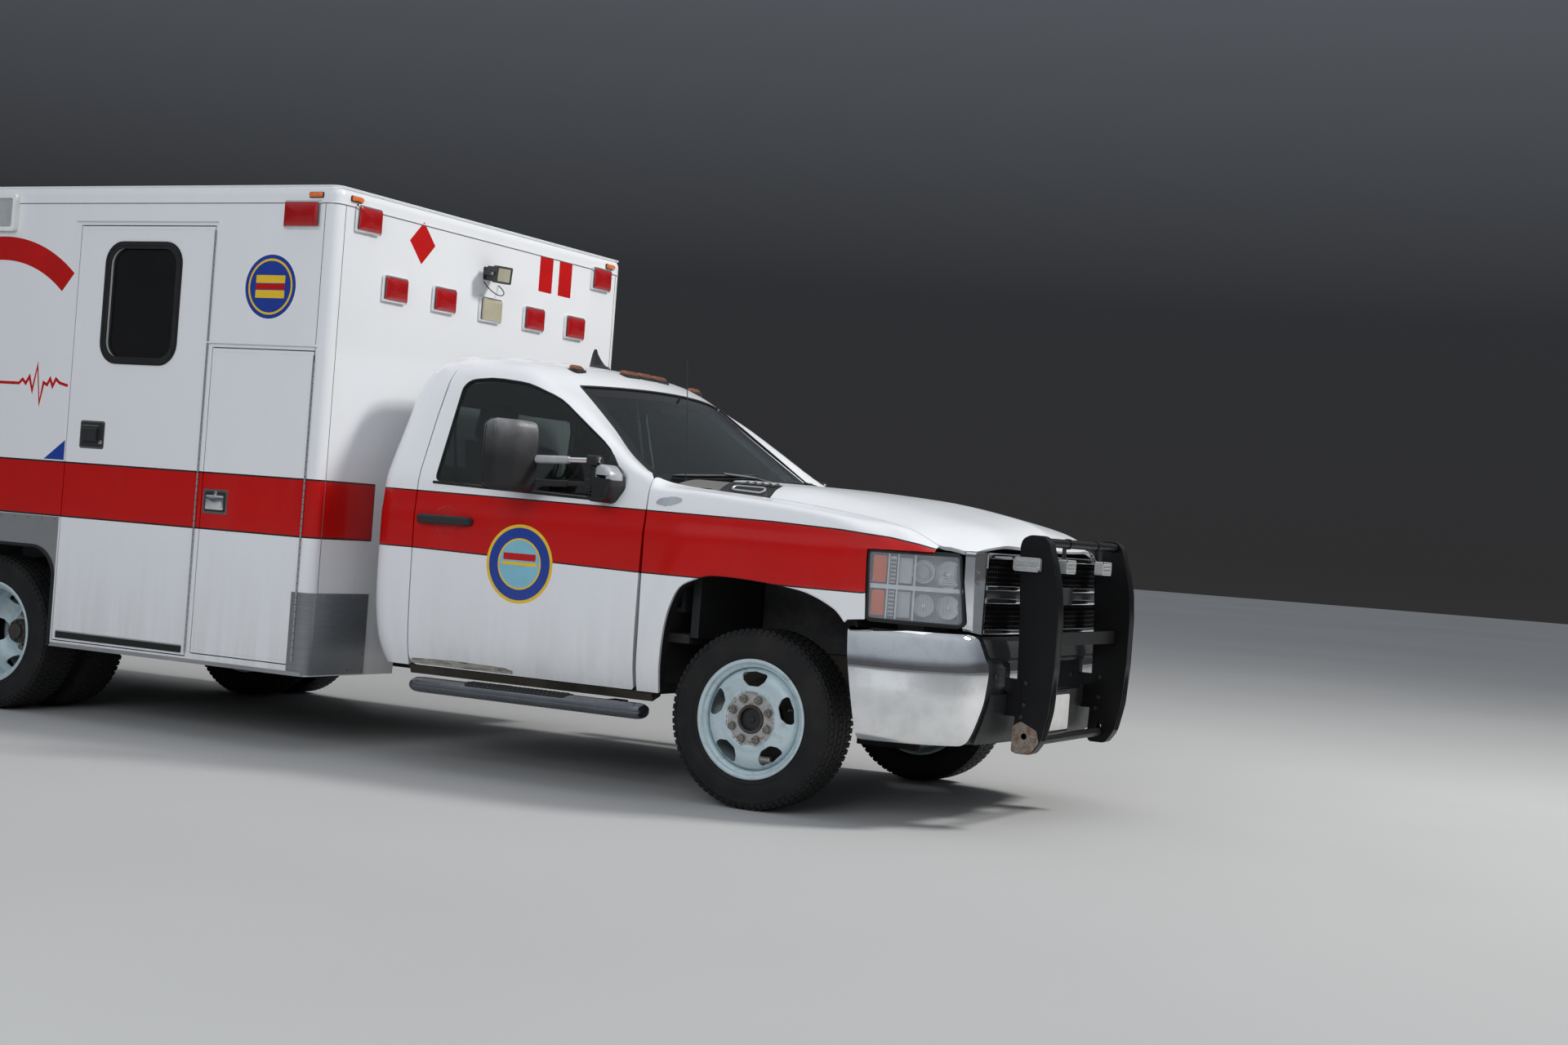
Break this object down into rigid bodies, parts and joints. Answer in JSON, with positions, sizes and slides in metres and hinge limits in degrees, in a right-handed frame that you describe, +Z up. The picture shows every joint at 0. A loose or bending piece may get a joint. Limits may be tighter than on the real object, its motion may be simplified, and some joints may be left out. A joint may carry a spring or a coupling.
{
  "type": "box ambulance",
  "caption": "Type I box ambulance: white patient module and truck cab with a red side stripe, grille guard, opening doors and hood, steered and rolling wheels.",
  "frame": {"origin": "on the floor under the middle of the whole vehicle", "axes": "+X forward along the vehicle, +Y to its left, +Z up"},
  "size_m": [7.7976, 2.56, 2.555],
  "materials": {
    "chassis_black": "satin",
    "bare_steel": "dull",
    "tyre_rubber": "matte",
    "silver_wheel": "satin",
    "white_paint": "gloss",
    "clear_glass": "clear",
    "dark_glass": "tinted",
    "chrome_trim": "polished",
    "grille_plastic": "moulded",
    "lamp_lens": "clear",
    "guard_black": "satin",
    "red_lens": "gloss",
    "seat_vinyl": "matte",
    "interior_plastic": "grained",
    "floor_aluminium": "satin"
  },
  "bodies": {
    "chassis": {"chassis_frame": "chassis_black", "engine": "chassis_black", "radiator": "chassis_black", "front_suspension": "chassis_black", "rear_axle": "chassis_black", "leaf_springs": "chassis_black", "exhaust": "bare_steel", "fuel_tank": "bare_steel", "cab_shell": "white_paint", "front_fenders": "white_paint", "box_roof": "white_paint", "box_front_wall": "white_paint", "box_rear_wall": "white_paint", "box_left_wall": "white_paint", "box_right_wall": "white_paint", "cab_glass": "clear_glass", "side_glass": "dark_glass", "front_bumper": "chrome_trim", "grille": "grille_plastic", "headlamps": "lamp_lens", "grille_guard": "guard_black", "running_boards": "guard_black", "warning_lights": "red_lens", "cab_seats": "seat_vinyl", "squad_bench": "seat_vinyl", "dashboard": "interior_plastic", "box_floor": "floor_aluminium", "lockers": "floor_aluminium", "rear_step": "floor_aluminium"},
    "hood": {"hood": "white_paint"},
    "cab_door_right": {"cab_door_right": "white_paint", "door_glass_right": "clear_glass", "mirror_right": "grille_plastic"},
    "cab_door_left": {"cab_door_left": "white_paint", "door_glass_left": "clear_glass", "mirror_left": "grille_plastic"},
    "steering_wheel": {"steering_wheel": "interior_plastic"},
    "knuckle_right": {"knuckle_right": "chassis_black"},
    "knuckle_left": {"knuckle_left": "chassis_black"},
    "front_wheel_right": {"front_tyre_right": "tyre_rubber", "front_rim_right": "silver_wheel"},
    "front_wheel_left": {"front_tyre_left": "tyre_rubber", "front_rim_left": "silver_wheel"},
    "rear_wheels_right": {"rear_tyres_right": "tyre_rubber", "rear_rims_right": "silver_wheel"},
    "rear_wheels_left": {"rear_tyres_left": "tyre_rubber", "rear_rims_left": "silver_wheel"},
    "entry_door": {"entry_door": "white_paint", "entry_door_glass": "dark_glass"},
    "right_front_locker_door": {"right_front_locker_door": "white_paint"},
    "right_rear_locker_door": {"right_rear_locker_door": "white_paint"},
    "left_front_locker_door": {"left_front_locker_door": "white_paint"},
    "left_rear_locker_door": {"left_rear_locker_door": "white_paint"},
    "rear_door_right": {"rear_door_right": "white_paint", "rear_door_glass_right": "dark_glass"},
    "rear_door_left": {"rear_door_left": "white_paint", "rear_door_glass_left": "dark_glass"}
  },
  "joints": [
    {"name": "hood_hinge", "type": "hinge", "parent": "chassis", "child": "hood", "pos_m": [2.433, 0, 1.352], "axis": [0, -1, 0], "range_deg": [0, 50]},
    {"name": "cab_door_right_hinge", "type": "hinge", "parent": "chassis", "child": "cab_door_right", "pos_m": [2.205, -1.006, 0.9], "axis": [0, 0, 1], "range_deg": [0, 65]},
    {"name": "cab_door_left_hinge", "type": "hinge", "parent": "chassis", "child": "cab_door_left", "pos_m": [2.205, 1.006, 0.9], "axis": [0, 0, -1], "range_deg": [0, 65]},
    {"name": "steer_right", "type": "hinge", "parent": "chassis", "child": "knuckle_right", "pos_m": [2.771, -0.712, 0.374], "axis": [0, 0, 1], "range_deg": [-33, 33]},
    {"name": "steer_left", "type": "hinge", "parent": "chassis", "child": "knuckle_left", "pos_m": [2.771, 0.712, 0.374], "axis": [0, 0, 1], "range_deg": [-33, 33]},
    {"name": "steering_wheel_turn", "type": "hinge", "parent": "chassis", "child": "steering_wheel", "pos_m": [1.871, 0.43, 1.11], "axis": [-0.87, 0, 0.493], "range_deg": [-500, 500]},
    {"name": "front_wheel_right_spin", "type": "hinge", "parent": "knuckle_right", "child": "front_wheel_right", "pos_m": [2.771, -0.868, 0.374], "axis": [0, 1, 0], "continuous": true},
    {"name": "front_wheel_left_spin", "type": "hinge", "parent": "knuckle_left", "child": "front_wheel_left", "pos_m": [2.771, 0.868, 0.374], "axis": [0, 1, 0], "continuous": true},
    {"name": "rear_wheels_right_spin", "type": "hinge", "parent": "chassis", "child": "rear_wheels_right", "pos_m": [-1.331, -0.924, 0.374], "axis": [0, 1, 0], "continuous": true},
    {"name": "rear_wheels_left_spin", "type": "hinge", "parent": "chassis", "child": "rear_wheels_left", "pos_m": [-1.331, 0.924, 0.374], "axis": [0, 1, 0], "continuous": true},
    {"name": "entry_door_hinge", "type": "hinge", "parent": "chassis", "child": "entry_door", "pos_m": [-0.062, -1.216, 1.3], "axis": [0, 0, 1], "range_deg": [0, 90]},
    {"name": "right_front_locker_hinge", "type": "hinge", "parent": "chassis", "child": "right_front_locker_door", "pos_m": [0.565, -1.216, 1.1], "axis": [0, 0, 1], "range_deg": [0, 100]},
    {"name": "right_rear_locker_hinge", "type": "hinge", "parent": "chassis", "child": "right_rear_locker_door", "pos_m": [-1.863, -1.216, 1.1], "axis": [0, 0, 1], "range_deg": [0, 100]},
    {"name": "left_front_locker_hinge", "type": "hinge", "parent": "chassis", "child": "left_front_locker_door", "pos_m": [0.565, 1.216, 1.1], "axis": [0, 0, -1], "range_deg": [0, 100]},
    {"name": "left_rear_locker_hinge", "type": "hinge", "parent": "chassis", "child": "left_rear_locker_door", "pos_m": [-1.863, 1.216, 1.1], "axis": [0, 0, -1], "range_deg": [0, 100]},
    {"name": "rear_door_right_hinge", "type": "hinge", "parent": "chassis", "child": "rear_door_right", "pos_m": [-3.646, -0.616, 1.5], "axis": [0, 0, 1], "range_deg": [0, 105]},
    {"name": "rear_door_left_hinge", "type": "hinge", "parent": "chassis", "child": "rear_door_left", "pos_m": [-3.646, 0.616, 1.5], "axis": [0, 0, -1], "range_deg": [0, 105]}
  ],
  "couplings": [
    {"joint": "steer_left", "follows": "steer_right", "ratio": 1},
    {"joint": "steering_wheel_turn", "follows": "steer_right", "ratio": 15}
  ]
}
